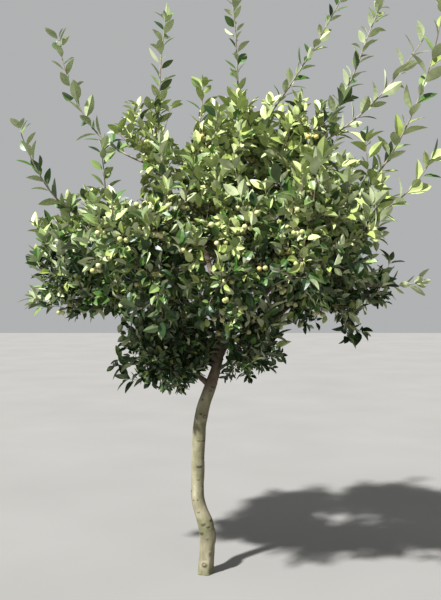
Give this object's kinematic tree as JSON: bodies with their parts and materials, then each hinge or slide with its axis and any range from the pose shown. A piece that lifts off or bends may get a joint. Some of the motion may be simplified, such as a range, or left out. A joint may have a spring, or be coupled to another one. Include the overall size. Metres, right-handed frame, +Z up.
{
  "type": "mexican hawthorn tree",
  "caption": "Young Mexican hawthorn (tejocote) tree with a bent bare trunk, a full rounded crown of leaves and pale fruit, and long upright water shoots.",
  "frame": {"origin": "middle of the flat cut through the foot of the trunk, at ground level", "axes": "+Z up along the tree's height, +X to the right of a viewer who stands at -Y, +Y away from that viewer"},
  "size_m": [2.2067, 1.6114, 3.3276],
  "materials": {
    "trunk_bark": "smooth pale grey-tan bark, greenish in places, with dark cross scars",
    "bough_bark": "dull grey-brown bark, paler on young wood",
    "foliage": "dark green, slightly glossy leaves with pale felted undersides, and pale yellow-green fruit"
  },
  "bodies": {
    "root": {"trunk": "trunk_bark", "leader_bough": "bough_bark", "right_bough": "bough_bark", "top_bough": "bough_bark", "upper_left_bough": "bough_bark", "mid_left_bough": "bough_bark", "left_bough": "bough_bark", "low_left_bough": "bough_bark", "low_right_bough": "bough_bark", "far_right_bough": "bough_bark", "front_bough": "bough_bark", "front_left_bough": "bough_bark", "front_right_bough": "bough_bark", "low_front_bough": "bough_bark", "back_bough": "bough_bark", "back_left_bough": "bough_bark", "back_right_bough": "bough_bark", "leader_foliage": "foliage", "right_foliage": "foliage", "top_foliage": "foliage", "upper_left_foliage": "foliage", "mid_left_foliage": "foliage", "left_foliage": "foliage", "low_left_foliage": "foliage", "low_right_foliage": "foliage", "far_right_foliage": "foliage", "front_foliage": "foliage", "front_left_foliage": "foliage", "front_right_foliage": "foliage", "low_front_foliage": "foliage", "back_foliage": "foliage", "back_left_foliage": "foliage", "back_right_foliage": "foliage"}
  },
  "joints": []
}
